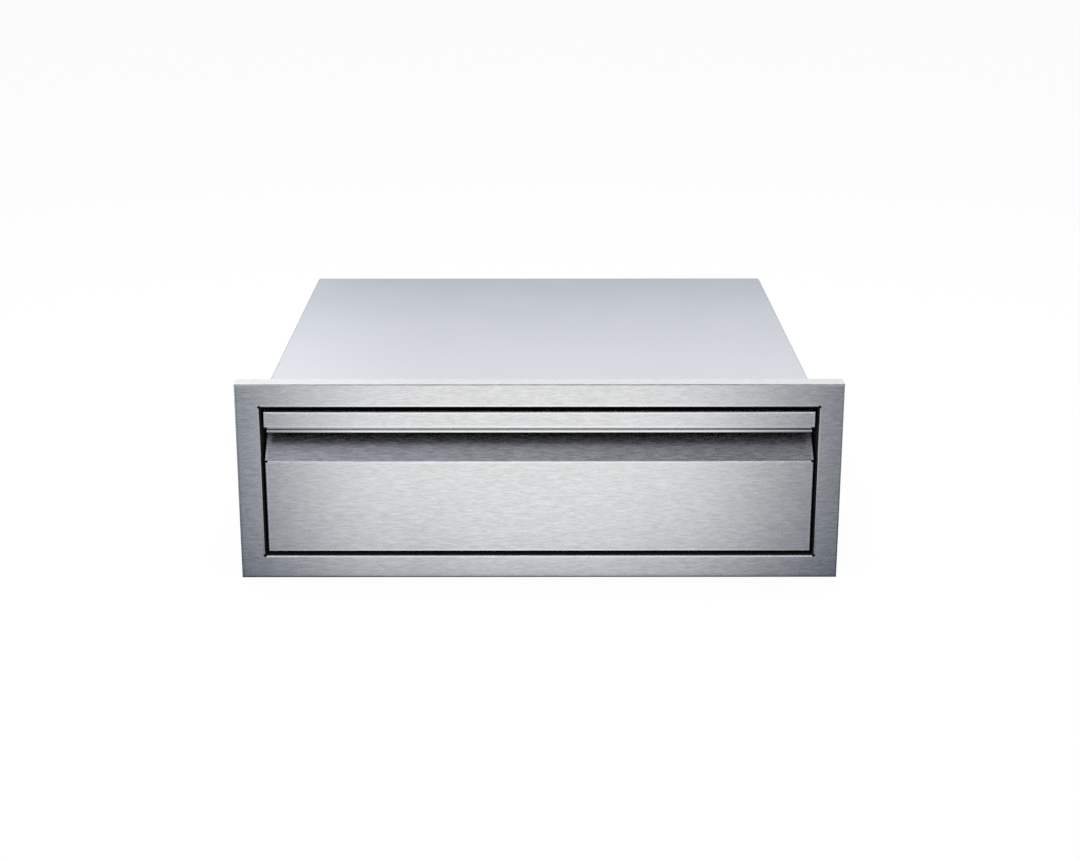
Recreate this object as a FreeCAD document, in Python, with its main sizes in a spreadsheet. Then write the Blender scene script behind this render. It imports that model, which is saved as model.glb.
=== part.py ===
import FreeCAD, Part
import math
import os
from types import SimpleNamespace

import Sketcher

# Storage drawer unit for an outdoor kitchen: a flanged face frame with a sheet-metal housing
# behind it, and one drawer on telescoping ball-bearing slides. Millimetres, X across the front,
# +Y into the island, +Z up. The origin is the middle of the frame, in the plane where the frame
# seats on the island's face. Every folded piece is stainless sheet of even thickness.

document = FreeCAD.newDocument("StorageDrawer")

# Driving sizes
SIZES = [
    # face frame
    ("frame_width", 762),
    ("frame_height", 261.5),
    ("frame_border", 30.5),
    ("frame_return", 20),
    ("frame_sheet", 1.2),
    ("jamb_depth", 42),
    ("face_bend", 2.0),
    ("relief_reach", 2.8),
    ("relief_depth", 3),
    # black lining of the opening
    ("lining_sheet", 1.5),
    ("lining_setback", 2.6),
    # housing
    ("housing_depth", 597),
    ("housing_sheet", 1.0),
    ("fold_radius", 1.0),
    ("wall_flange", 14),
    ("rear_flange", 16),
    ("roof_inset", 2),
    ("lap_start", 12),
    ("lap_margin", 4),
    ("fixing_radius", 2.5),
    ("fixing_front", 42),
    ("fixing_rear_inset", 35),
    ("fixing_edge", 26.45),
    # drawer front
    ("side_gap", 5.0),
    ("height_gap", 6.2),
    ("front_sheet", 1.2),
    ("recess_depth", 32),
    ("recess_drop", 66),
    ("recess_angle", 42),
    ("edge_bend", 1.6),
    ("notch_reach", 3.0),
    ("notch_height", 2.4),
    ("rim_width", 30),
    ("lip_height", 21),
    ("lip_play", 0.6),
    ("bead_setback", 4.0),
    ("bead_diameter", 4.7),
    ("bead_drop", 29.7),
    ("bead_sheet", 1.0),
    ("bead_inset", 3.0),
    # liner and wiper seal behind the drawer front
    ("liner_sheet", 1.0),
    ("liner_inset", 0.6),
    ("wiper_depth", 5),
    ("wiper_width", 10),
    ("wiper_play", 0.4),
    # drawer box
    ("box_top_gap", 35.25),
    ("box_base_gap", 15.25),
    ("box_sheet", 1.0),
    ("box_flange", 12),
    ("corner_play", 2.5),
    # slides
    ("slide_start", 2),
    ("slide_rear_gap", 45),
    ("slide_rise", 55),
    ("slide_height", 45.2),
    ("slide_thickness", 12.7),
    ("slide_sheet", 1.2),
    ("web_gap", 1.0),
    ("ball_diameter", 4.0),
    ("race_play", 0.1),
    ("race_swing", 50),
    ("outer_race_arc", 60),
    ("cradle_arc", 90),
    ("inner_race_lead", 8),
    ("inner_race_trail", 25),
    ("member_bend", 1.0),
    ("tail_length", 0.6),
    # ball cages
    ("cage_setback", 18),
    ("cage_sheet", 0.5),
    ("cage_play", 0.35),
    ("cage_bend", 0.4),
    ("pocket_play", 0.15),
    ("pocket_wall", 0.8),
    ("balls_in_row", 6),
    # brackets between the housing walls and the slides
    ("bracket_sheet", 1.2),
    ("bracket_rise", 5),
    ("bracket_face", 44),
    ("bracket_flange", 12),
    # rubber stops at the back
    ("bumper_radius", 9),
    ("bumper_length", 15.5),
    ("bumper_play", 0.3),
    ("bumper_spacing", 500),
    ("bumper_taper", 2),
]

# Sizes and places that follow from the driving ones
FITS = [
    ("face_plane", "-Sizes.frame_return"),
    ("opening_width", "Sizes.frame_width - 2 * Sizes.frame_border"),
    ("opening_height", "Sizes.frame_height - 2 * Sizes.frame_border"),
    ("jamb_end", "face_plane + Sizes.jamb_depth"),
    ("wall_plane", "opening_width / 2 + Sizes.frame_sheet"),
    ("roof_level", "opening_height / 2 + Sizes.frame_sheet"),
    ("lap_plane", "face_plane + Sizes.lap_start"),
    ("back_plane", "face_plane + Sizes.housing_depth"),
    ("roof_width", "2 * (wall_plane + Sizes.housing_sheet - Sizes.roof_inset)"),
    ("front_width", "opening_width - 2 * Sizes.side_gap"),
    ("front_top", "opening_height / 2 - Sizes.height_gap"),
    ("fold_level", "front_top - Sizes.recess_drop"),
    ("recess_back", "face_plane + Sizes.recess_depth"),
    ("slope_top", "fold_level + Sizes.recess_depth / tan(Sizes.recess_angle)"),
    ("slope_sheet", "Sizes.front_sheet / sin(Sizes.recess_angle)"),
    ("skin_back", "recess_back + Sizes.front_sheet"),
    ("lip_return", "Sizes.bead_setback + Sizes.bead_diameter - Sizes.bead_sheet"),
    ("bead_level", "front_top - Sizes.bead_drop + Sizes.bead_diameter / 2"),
    ("box_front", "skin_back + Sizes.liner_sheet"),
    ("bumper_foot", "back_plane - 2 * Sizes.housing_sheet"),
    ("box_back", "bumper_foot - Sizes.bumper_length - Sizes.bumper_play"),
    ("box_depth", "box_back - box_front"),
    ("box_top", "opening_height / 2 - Sizes.box_top_gap"),
    ("box_base", "Sizes.box_base_gap - opening_height / 2"),
    ("box_height", "box_top - box_base"),
    ("bracket_plane", "wall_plane - Sizes.bracket_rise"),
    ("box_half_width", "bracket_plane - Sizes.slide_thickness"),
    ("tray_half_width", "box_half_width - Sizes.box_sheet - Sizes.corner_play"),
    ("slide_front", "jamb_end + Sizes.slide_start"),
    ("slide_length", "back_plane - Sizes.slide_rear_gap - slide_front"),
    ("slide_level", "box_base + Sizes.slide_rise"),
    ("cage_length", "slide_length / 2 - Sizes.cage_setback"),
    ("cage_front", "slide_front + (slide_length - cage_length) / 2"),
    ("race_radius", "Sizes.ball_diameter / 2 + Sizes.race_play"),
    ("race_line", "race_radius + Sizes.slide_sheet / 2"),
    ("outer_ball_height", "Sizes.slide_height / 2 - Sizes.slide_sheet - race_radius"),
    ("inner_ball_height", "outer_ball_height - 2 * race_line * sin(Sizes.race_swing)"),
    ("middle_web", "1.5 * Sizes.slide_sheet + Sizes.web_gap"),
    ("inner_ball_reach", "middle_web + race_line"),
    ("outer_ball_reach", "inner_ball_reach + 2 * race_line * cos(Sizes.race_swing)"),
    ("pocket_reach", "Sizes.ball_diameter / 2 + Sizes.pocket_play"),
]


def filled_sheet(name, rows, prefix):
    """A spreadsheet with one named cell for each row."""
    sheet = document.addObject("Spreadsheet::Sheet", name)
    for number, (alias, content) in enumerate(rows, 1):
        sheet.set(f"A{number}", alias)
        sheet.set(f"B{number}", prefix + str(content))
        sheet.setAlias(f"B{number}", alias)
    document.recompute()
    return {alias: float(getattr(sheet, alias)) for alias, _ in rows}


size = SimpleNamespace(**filled_sheet("Sizes", SIZES, ""), **filled_sheet("Fits", FITS, "="))

LEFT, RIGHT = -1, 1
SIDES = (("left", LEFT), ("right", RIGHT))
subparts = []


# Bodies, sketches and features

def new_body(label):
    body = document.addObject("PartDesign::Body", label)
    body.Label = label
    subparts.append(body)
    return body


def new_sketch(body, role, offset="0"):
    """A sketch on one of the body's origin planes, moved along that plane's normal."""
    sketch = body.newObject("Sketcher::SketchObject", body.Label + "_sketch")
    plane = next(f for f in body.Origin.OriginFeatures if f.Role == role)
    sketch.AttachmentSupport = (plane, "")
    sketch.MapMode = "FlatFace"
    sketch.setExpression("AttachmentOffset.Base.z", offset)
    return sketch


def facing_sketch(body, depth):
    """A sketch that faces the front, at a depth along Y."""
    return new_sketch(body, "XZ_Plane", f"-({depth})")


def bind(sketch, kind, where, formula):
    """A dimension of a sketch, tied to the sheets."""
    index = sketch.addConstraint(Sketcher.Constraint(kind, *where, 1.0))
    sketch.setExpression(f"Constraints[{index}]", formula)


def outline(sketch, corners):
    """A closed outline of straight lines, each corner tied to the sheets."""
    count = len(corners)
    first = sketch.GeometryCount
    turn = 2 * math.pi / count
    rough = [FreeCAD.Vector(math.cos(i * turn), math.sin(i * turn)) for i in range(count)]
    for i in range(count):
        sketch.addGeometry(Part.LineSegment(rough[i], rough[(i + 1) % count]), False)
    for i, (x, y) in enumerate(corners):
        before = first + (i - 1) % count
        sketch.addConstraint(Sketcher.Constraint("Coincident", before, 2, first + i, 1))
        bind(sketch, "DistanceX", (-1, 1, first + i, 1), x)
        bind(sketch, "DistanceY", (-1, 1, first + i, 1), y)


def rectangle(sketch, left, bottom, right, top):
    outline(sketch, [(left, bottom), (right, bottom), (right, top), (left, top)])


def centred_rectangle(sketch, half_width, half_height):
    rectangle(sketch, f"-({half_width})", f"-({half_height})", half_width, half_height)


def circle(sketch, x, y, radius):
    index = sketch.addGeometry(Part.Circle(FreeCAD.Vector(), FreeCAD.Vector(0, 0, 1), 1), False)
    bind(sketch, "DistanceX", (-1, 1, index, 3), x)
    bind(sketch, "DistanceY", (-1, 1, index, 3), y)
    bind(sketch, "Radius", (index,), radius)


def extruded(body, kind, sketch, length, reverse, symmetric):
    feature = body.newObject("PartDesign::" + kind, f"{body.Label}_{kind.lower()}")
    feature.Profile = sketch
    feature.setExpression("Length", length)
    feature.Reversed = reverse
    feature.SideType = "Symmetric" if symmetric else "One side"
    document.recompute()
    return feature


def pad(body, sketch, length, reverse=False, symmetric=False):
    return extruded(body, "Pad", sketch, length, reverse, symmetric)


def pocket(body, sketch, depth, reverse=False, symmetric=False):
    before = body.Tip.Shape.Volume
    feature = extruded(body, "Pocket", sketch, depth, reverse, symmetric)
    if feature.Shape.Volume >= before:
        raise RuntimeError(f"{body.Label}: a pocket cuts nothing")
    return feature


def slab(body, depth, length, *rings):
    """Centred rectangles, padded along +Y from a depth: two of them make a ring."""
    sketch = facing_sketch(body, depth)
    for half_width, half_height in rings:
        centred_rectangle(sketch, half_width, half_height)
    return pad(body, sketch, length, reverse=True)


def edges_in_plane(shape, depth):
    """Names of the straight edges that lie in a plane across Y."""
    def lies_in_plane(edge):
        return all(abs(v.Point.y - depth) < 1e-6 for v in edge.Vertexes)
    return [f"Edge{i}" for i, edge in enumerate(shape.Edges, 1) if lies_in_plane(edge)]


def fillet(body, names, radius):
    base = body.Tip
    feature = body.newObject("PartDesign::Fillet", body.Label + "_bend")
    feature.Base = (base, names)
    feature.setExpression("Radius", radius)
    document.recompute()
    return feature


# Folded sheet: a strip of even thickness is drawn as a walk along its middle line

def run(length):
    return ("run", length, 0.0)


def bend(angle, inside_radius):
    """A bend to the left of the walk, or to the right if the angle is negative."""
    return ("bend", angle, inside_radius)


def heading_vector(degrees):
    return FreeCAD.Vector(math.cos(math.radians(degrees)), math.sin(math.radians(degrees)))


def folded_outline(sheet, start, heading, moves, place):
    """Lines and arcs round a strip of sheet that runs and bends from a start point."""
    here = FreeCAD.Vector(*start)
    rails = {1: [], -1: []}
    caps = []

    def edge_point(point, direction, rail):
        offset = heading_vector(direction + 90) * (rail * sheet / 2)
        return place(point + offset)

    caps.append([edge_point(here, heading, rail) for rail in rails])
    for kind, amount, inside_radius in moves:
        if kind == "run":
            there = here + heading_vector(heading) * amount
            for rail, edges in rails.items():
                ends = [edge_point(p, heading, rail) for p in (here, there)]
                edges.append(Part.LineSegment(*ends))
            here = there
            continue
        hand = math.copysign(1, amount)
        radius = inside_radius + sheet / 2
        centre = here + heading_vector(heading + 90) * (hand * radius)
        stops = [heading + amount * share for share in (0, 0.5, 1)]
        line = [centre - heading_vector(stop + 90) * (hand * radius) for stop in stops]
        for rail, edges in rails.items():
            through = [edge_point(p, stop, rail) for p, stop in zip(line, stops)]
            edges.append(Part.Arc(*through))
        here, heading = line[-1], stops[-1]
    caps.append([edge_point(here, heading, rail) for rail in rails])
    return rails[1] + rails[-1] + [Part.LineSegment(*cap) for cap in caps]


def folded_strip(body, sketch, sheet, start, heading, moves, place=lambda point: point):
    for edge in folded_outline(sheet, start, heading, moves, place):
        sketch.addGeometry(edge, False)


def mirrored(side):
    """Places a point drawn for the right-hand piece on either side."""
    return lambda point: FreeCAD.Vector(side * point.x, point.y)


def across(side, near, far):
    """Formulas for a low and a high X between two distances from the middle."""
    return (near, far) if side == RIGHT else (f"-({far})", f"-({near})")


# Face frame: the front ring, its outer returns that seat on the island, and the jambs that
# go back to the housing, with a small relief notch at each corner of the opening

def make_face_frame():
    body = new_body("face_frame")
    outside = ("Sizes.frame_width / 2", "Sizes.frame_height / 2")
    channel = ("Sizes.frame_width / 2 - Sizes.frame_sheet",
               "Sizes.frame_height / 2 - Sizes.frame_sheet")
    opening = ("Fits.opening_width / 2", "Fits.opening_height / 2")
    jamb = ("Fits.wall_plane", "Fits.roof_level")
    slab(body, "Fits.face_plane", "Sizes.frame_sheet", outside, opening)
    slab(body, "Fits.face_plane", "Sizes.frame_return", outside, channel)
    slab(body, "Fits.face_plane", "Sizes.jamb_depth", opening, jamb)
    fillet(body, edges_in_plane(body.Tip.Shape, size.face_plane), "Sizes.face_bend")
    behind = edges_in_plane(body.Tip.Shape, size.face_plane + size.frame_sheet)
    fillet(body, behind, "Sizes.face_bend - Sizes.frame_sheet")
    relief = facing_sketch(body, "Fits.face_plane")
    reach = "Sizes.relief_reach"
    for x in ("Fits.opening_width / 2", "-Fits.opening_width / 2"):
        for z in ("Fits.opening_height / 2", "-Fits.opening_height / 2"):
            outline(relief, [(f"{x} - {reach}", z), (x, f"{z} - {reach}"),
                             (f"{x} + {reach}", z), (x, f"{z} + {reach}")])
    pocket(body, relief, "Sizes.relief_depth")


def make_jamb_seal():
    body = new_body("jamb_seal")
    slab(body, "Fits.face_plane + Sizes.lining_setback",
         "Sizes.jamb_depth - Sizes.lining_setback",
         ("Fits.opening_width / 2", "Fits.opening_height / 2"),
         ("Fits.opening_width / 2 - Sizes.lining_sheet",
          "Fits.opening_height / 2 - Sizes.lining_sheet"))


# Housing: two walls with flanges, a roof and a floor that lie on the flanges, and a back

def make_housing_side(name, side):
    body = new_body("housing_side_" + name)
    corner = size.fold_radius + size.housing_sheet
    start = (size.wall_plane + size.housing_sheet - size.wall_flange,
             size.roof_level - size.housing_sheet / 2)
    flange = run(size.wall_flange - corner)
    fold = bend(-90, size.fold_radius)
    wall = run(2 * (size.roof_level - corner))
    sketch = facing_sketch(body, "Fits.jamb_end")
    folded_strip(body, sketch, size.housing_sheet, start, 0,
                 [flange, fold, wall, fold, flange], mirrored(side))
    pad(body, sketch,
        "Fits.back_plane - Sizes.housing_sheet - Sizes.fold_radius - Fits.jamb_end",
        reverse=True)
    tongue = facing_sketch(body, "Fits.lap_plane")
    low, high = across(side, "Fits.wall_plane", "Fits.wall_plane + Sizes.housing_sheet")
    level = "Fits.roof_level - Sizes.lap_margin"
    rectangle(tongue, low, f"-({level})", high, level)
    pad(body, tongue, "Fits.jamb_end - Fits.lap_plane", reverse=True)
    fixings = new_sketch(body, "YZ_Plane", low)
    for y in ("Sizes.fixing_front", "Fits.back_plane - Sizes.fixing_rear_inset"):
        for z in ("Fits.roof_level - Sizes.fixing_edge", "Sizes.fixing_edge - Fits.roof_level"):
            circle(fixings, y, z, "Sizes.fixing_radius")
    pocket(body, fixings, "Sizes.housing_sheet", reverse=True)


def make_housing_lid(label, side):
    """Roof or floor: it laps the jamb in front and folds over the back sheet."""
    body = new_body(label)
    corner = size.fold_radius + size.housing_sheet
    start = (size.lap_plane, size.roof_level + size.housing_sheet / 2)
    moves = [run(size.back_plane - size.lap_plane - corner),
             bend(-90, size.fold_radius),
             run(size.rear_flange - corner)]
    sketch = new_sketch(body, "YZ_Plane")
    folded_strip(body, sketch, size.housing_sheet, start, 0, moves,
                 lambda point: FreeCAD.Vector(point.x, side * point.y))
    pad(body, sketch, "Fits.roof_width", symmetric=True)


def make_housing_back():
    body = new_body("housing_back")
    corner = size.fold_radius + size.housing_sheet
    start = (size.housing_sheet / 2 - size.wall_plane,
             size.back_plane - size.housing_sheet - size.wall_flange)
    flange = run(size.wall_flange - corner)
    fold = bend(-90, size.fold_radius)
    sketch = new_sketch(body, "XY_Plane")
    folded_strip(body, sketch, size.housing_sheet, start, 90,
                 [flange, fold, run(2 * (size.wall_plane - corner)), fold, flange])
    pad(body, sketch, "2 * (Fits.roof_level - Sizes.housing_sheet - Sizes.fold_radius)",
        symmetric=True)


# Brackets: hat sections that hold the slides clear of the jambs

def make_slide_bracket(name, side):
    body = new_body("slide_bracket_" + name)
    middle_radius = size.fold_radius + size.bracket_sheet / 2
    jog = run(size.bracket_rise - size.bracket_sheet - 2 * middle_radius)
    flange = run(size.bracket_flange)
    left, right = bend(90, size.fold_radius), bend(-90, size.fold_radius)
    half = size.bracket_face / 2 + 2 * middle_radius + size.bracket_flange
    start = (size.wall_plane - size.bracket_sheet / 2, size.slide_level - half)
    sketch = facing_sketch(body, "Fits.slide_front")
    folded_strip(body, sketch, size.bracket_sheet, start, 90,
                 [flange, left, jog, right, run(size.bracket_face), right, jog, left, flange],
                 mirrored(side))
    pad(body, sketch, "Fits.slide_length", reverse=True)


# Slides: three roll-formed members that nest, with a row of balls above and below between
# each two. Each race is an arc round the ball's centre. The section is drawn with x as the
# reach from the bracket's face towards the drawer box and y from the slide's middle height.

def in_slide(side):
    return lambda point: FreeCAD.Vector(side * (size.bracket_plane - point.x),
                                        size.slide_level + point.y)


def ball_point(reach, height, angle):
    """A point on a race's middle line, at an angle round the ball."""
    return FreeCAD.Vector(reach, height) + heading_vector(angle) * size.race_line


def make_outer_member(name, side):
    body = new_body("slide_outer_" + name)
    half_arc = size.outer_race_arc / 2
    middle_radius = size.member_bend + size.slide_sheet / 2
    race_end = ball_point(size.outer_ball_reach, size.outer_ball_height, 90 - half_arc)
    race_start = ball_point(size.outer_ball_reach, size.outer_ball_height, 90 + half_arc)
    start = race_end - heading_vector(180 - half_arc) * size.tail_length
    arc = math.radians(half_arc)
    flat_start = race_start.x - middle_radius * math.sin(arc)
    flat_level = race_start.y - middle_radius * (1 - math.cos(arc))
    flat = run(flat_start - size.slide_sheet / 2 - middle_radius)
    tail = run(size.tail_length)
    race = bend(size.outer_race_arc, size.race_radius)
    ease = bend(-half_arc, size.member_bend)
    fold = bend(90, size.member_bend)
    web = run(2 * (flat_level - middle_radius))
    sketch = facing_sketch(body, "Fits.slide_front")
    folded_strip(body, sketch, size.slide_sheet, (start.x, start.y), 180 - half_arc,
                 [tail, race, ease, flat, fold, web, fold, flat, ease, race, tail],
                 in_slide(side))
    pad(body, sketch, "Fits.slide_length", reverse=True)


def make_middle_member(name, side):
    body = new_body("slide_middle_" + name)
    tip_angle = 180 + size.race_swing + size.cradle_arc
    start = ball_point(size.outer_ball_reach, size.outer_ball_height, tip_angle)
    cradle = bend(-size.cradle_arc, size.race_radius)
    shoulder = bend(180 - size.race_swing, size.race_radius)
    sketch = facing_sketch(body, "Fits.slide_front")
    folded_strip(body, sketch, size.slide_sheet, (start.x, start.y), tip_angle - 90,
                 [cradle, shoulder, run(2 * size.inner_ball_height), shoulder, cradle],
                 in_slide(side))
    pad(body, sketch, "Fits.slide_length", reverse=True)


def make_inner_member(name, side):
    body = new_body("slide_inner_" + name)
    middle_radius = size.member_bend + size.slide_sheet / 2
    lead, trail = size.inner_race_lead, size.inner_race_trail
    slope = math.radians(trail)
    start = ball_point(size.inner_ball_reach, size.inner_ball_height, 270 - lead)
    race_end = ball_point(size.inner_ball_reach, size.inner_ball_height, 270 + trail)
    web_line = size.slide_thickness - size.slide_sheet / 2
    ramp_end = web_line - middle_radius * (1 + math.sin(slope))
    ramp = (ramp_end - race_end.x) / math.cos(slope)
    web_half = race_end.y + ramp * math.sin(slope) - middle_radius * math.cos(slope)
    race = bend(lead + trail, size.race_radius)
    fold = bend(-90 - trail, size.member_bend)
    sketch = facing_sketch(body, "Fits.slide_front")
    folded_strip(body, sketch, size.slide_sheet, (start.x, start.y), -lead,
                 [race, run(ramp), fold, run(2 * web_half), fold, run(ramp), race],
                 in_slide(side))
    pad(body, sketch, "Fits.slide_length", reverse=True)


def make_cage(label, side, web_line, reach, height):
    """A channel of thin strip whose flanges have a square pocket for each ball."""
    body = new_body(label)
    reach_value, height_value = getattr(size, reach), getattr(size, height)
    flange_end = reach_value + size.pocket_reach + size.pocket_wall
    middle_radius = size.cage_bend + size.cage_sheet / 2
    flange = run(flange_end - web_line - middle_radius)
    fold = bend(90, size.cage_bend)
    sketch = facing_sketch(body, "Fits.cage_front")
    folded_strip(body, sketch, size.cage_sheet, (flange_end, height_value), 180,
                 [flange, fold, run(2 * (height_value - middle_radius)), fold, flange],
                 in_slide(side))
    pad(body, sketch, "Fits.cage_length", reverse=True)
    pitch = "Fits.cage_length / Sizes.balls_in_row"
    middle = f"{side} * (Fits.bracket_plane - Fits.{reach})"
    for sign in (1, -1):
        rim = f"Fits.slide_level + {sign} * (Fits.{height} + Fits.pocket_reach)"
        pockets = new_sketch(body, "XY_Plane", rim)
        for i in range(int(size.balls_in_row)):
            depth = f"Fits.cage_front + {i + 0.5} * {pitch}"
            rectangle(pockets, f"{middle} - Fits.pocket_reach", f"{depth} - Fits.pocket_reach",
                      f"{middle} + Fits.pocket_reach", f"{depth} + Fits.pocket_reach")
        pocket(body, pockets, "2 * Fits.pocket_reach", reverse=sign < 0)


# Groups of like pieces share one node

def new_group(label, shapes):
    feature = document.addObject("Part::Feature", label)
    feature.Label = label
    feature.Shape = Part.makeCompound(shapes)
    feature.Placement = FreeCAD.Placement()
    subparts.append(feature)


def faceted_ball(radius):
    """A ball with flat facets: bands between six-sided rings with their corners on the sphere."""
    rings = []
    for latitude in (-60, -20, 20, 60):
        level = radius * math.sin(math.radians(latitude))
        reach = radius * math.cos(math.radians(latitude))
        rings.append([heading_vector(60 * i) * reach + FreeCAD.Vector(0, 0, level)
                      for i in range(6)])
    faces = [rings[0], rings[-1]]
    for low, high in zip(rings, rings[1:]):
        faces += [[low[i - 1], low[i], high[i], high[i - 1]] for i in range(6)]
    shell = Part.makeShell([Part.Face(Part.makePolygon(f + f[:1])) for f in faces])
    return Part.makeSolid(shell)


def make_balls(label, side, reach, height):
    ball = faceted_ball(size.ball_diameter / 2)
    x = side * (size.bracket_plane - reach)
    pitch = size.cage_length / size.balls_in_row
    spots = [FreeCAD.Vector(x, size.cage_front + (i + 0.5) * pitch,
                            size.slide_level + sign * height)
             for i in range(int(size.balls_in_row)) for sign in (1, -1)]
    new_group(label, [ball.translated(spot) for spot in spots])


def make_rear_bumpers():
    new_group("rear_bumpers", [
        Part.makeCone(size.bumper_radius, size.bumper_radius - size.bumper_taper,
                      size.bumper_length,
                      FreeCAD.Vector(side * size.bumper_spacing / 2, size.bumper_foot,
                                     (size.box_top + size.box_base) / 2),
                      FreeCAD.Vector(0, -1, 0))
        for _, side in SIDES])


# Drawer front: a skin with the lower panel, the slope and back of the finger recess and a
# relief notch at each end of the fold between them, a lip folded along the top, and a strip
# under the lip whose edge is rolled to a bead

def make_front_skin():
    body = new_body("front_skin")
    sheet, angle = "Sizes.front_sheet", "Sizes.recess_angle"
    block = new_sketch(body, "YZ_Plane")
    outline(block, [("Fits.face_plane", "-Fits.front_top"),
                    ("Fits.face_plane", "Fits.fold_level"),
                    ("Fits.recess_back", "Fits.slope_top"),
                    ("Fits.skin_back", "Fits.slope_top"),
                    ("Fits.skin_back", "-Fits.front_top")])
    pad(body, block, "Fits.front_width", symmetric=True)
    fillet(body, edges_in_plane(body.Tip.Shape, size.face_plane), "Sizes.edge_bend")
    hollow = new_sketch(body, "YZ_Plane")
    floor = f"{sheet} - Fits.front_top"
    outline(hollow, [(f"Fits.face_plane + {sheet}", floor),
                     (f"Fits.face_plane + {sheet}",
                      f"Fits.fold_level + {sheet} / tan({angle}) - Fits.slope_sheet"),
                     ("Fits.recess_back", "Fits.slope_top - Fits.slope_sheet"),
                     ("Fits.recess_back", floor)])
    pocket(body, hollow, f"Fits.front_width - 2 * {sheet}", symmetric=True)
    window = facing_sketch(body, "Fits.skin_back")
    half = f"Fits.front_width / 2 - {sheet} - Sizes.rim_width"
    rectangle(window, f"-({half})", f"{floor} + Sizes.rim_width",
              half, "Fits.slope_top - Fits.slope_sheet - Sizes.rim_width")
    pocket(body, window, sheet, reverse=True)
    notch = facing_sketch(body, "Fits.face_plane")
    for _, side in SIDES:
        low, high = across(side, "Fits.front_width / 2 - Sizes.notch_reach",
                           "Fits.front_width / 2")
        rectangle(notch, low, "Fits.fold_level - Sizes.notch_height / 2",
                  high, "Fits.fold_level + Sizes.notch_height / 2")
    pocket(body, notch, "Sizes.relief_depth")
    middle_radius = size.fold_radius + size.front_sheet / 2
    top_line = size.front_top - 1.5 * size.front_sheet
    foot = (size.recess_back + size.front_sheet / 2, size.slope_top - size.front_sheet)
    flange = (foot[0] - middle_radius
              - (size.face_plane + size.front_sheet + size.lip_play))
    wall = new_sketch(body, "YZ_Plane")
    folded_strip(body, wall, size.front_sheet, foot, 90,
                 [run(top_line - middle_radius - foot[1]), bend(90, size.fold_radius),
                  run(flange)])
    pad(body, wall, f"Fits.front_width - 2 * ({sheet} + Sizes.lip_play)", symmetric=True)


def make_handle_lip():
    body = new_body("handle_lip")
    half, sheet = "Fits.front_width / 2", "Sizes.front_sheet"
    base = "Fits.front_top - Sizes.lip_height"
    block = facing_sketch(body, "Fits.face_plane")
    rectangle(block, f"-({half})", base, half, "Fits.front_top")
    pad(body, block, "Fits.lip_return", reverse=True)
    fillet(body, edges_in_plane(body.Tip.Shape, size.face_plane), "Sizes.edge_bend")
    hollow = facing_sketch(body, "Fits.face_plane + Fits.lip_return")
    rectangle(hollow, f"{sheet} - {half}", f"{base} + {sheet}",
              f"{half} - {sheet}", f"Fits.front_top - {sheet}")
    pocket(body, hollow, f"Fits.lip_return - {sheet}", reverse=True)
    roof = facing_sketch(body, "Fits.face_plane + Fits.lip_return")
    rectangle(roof, f"-({half})", f"Fits.front_top - {sheet}", half, "Fits.front_top")
    pad(body, roof, "Fits.skin_back - Fits.face_plane - Fits.lip_return", reverse=True)


def make_grip_bead():
    body = new_body("grip_bead")
    start = (size.face_plane + size.lip_return + size.bead_sheet / 2,
             size.front_top - 2 * size.front_sheet)
    sketch = new_sketch(body, "YZ_Plane")
    folded_strip(body, sketch, size.bead_sheet, start, 270,
                 [run(start[1] - size.bead_level),
                  bend(-270, size.bead_diameter / 2 - size.bead_sheet)])
    pad(body, sketch, "Fits.front_width - 2 * Sizes.bead_inset", symmetric=True)


def make_front_liner():
    body = new_body("front_liner")
    slab(body, "Fits.skin_back", "Sizes.liner_sheet",
         ("Fits.front_width / 2 - Sizes.liner_inset", "Fits.front_top - Sizes.liner_inset"))


def make_wiper_seal():
    body = new_body("wiper_seal")
    half_width = "Fits.opening_width / 2 - Sizes.lining_sheet - Sizes.wiper_play"
    half_height = "Fits.opening_height / 2 - Sizes.lining_sheet - Sizes.wiper_play"
    slab(body, "Fits.box_front", "Sizes.wiper_depth", (half_width, half_height),
         (f"{half_width} - Sizes.wiper_width", f"{half_height} - Sizes.wiper_width"))


# Drawer box: two sides with flanges, a floor that lies on them, and a back

def make_drawer_side(name, side):
    body = new_body("drawer_side_" + name)
    corner = size.fold_radius + size.box_sheet
    flange = run(size.box_flange - corner)
    fold = bend(-90, size.fold_radius)
    start = (size.box_half_width - size.box_flange, size.box_top - size.box_sheet / 2)
    sketch = facing_sketch(body, "Fits.box_front")
    folded_strip(body, sketch, size.box_sheet, start, 0,
                 [flange, fold, run(size.box_height - 2 * corner), fold, flange],
                 mirrored(side))
    pad(body, sketch, "Fits.box_depth", reverse=True)


def make_drawer_bottom():
    body = new_body("drawer_bottom")
    corner = size.fold_radius + size.box_sheet
    flange = run(size.box_flange - corner)
    fold = bend(90, size.fold_radius)
    length = size.box_depth - size.box_sheet
    start = (size.box_front + size.box_sheet / 2,
             size.box_base + size.box_sheet + size.box_flange)
    sketch = new_sketch(body, "YZ_Plane")
    folded_strip(body, sketch, size.box_sheet, start, 270,
                 [flange, fold, run(length - 2 * corner), fold, flange])
    pad(body, sketch, "2 * Fits.tray_half_width", symmetric=True)


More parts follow.
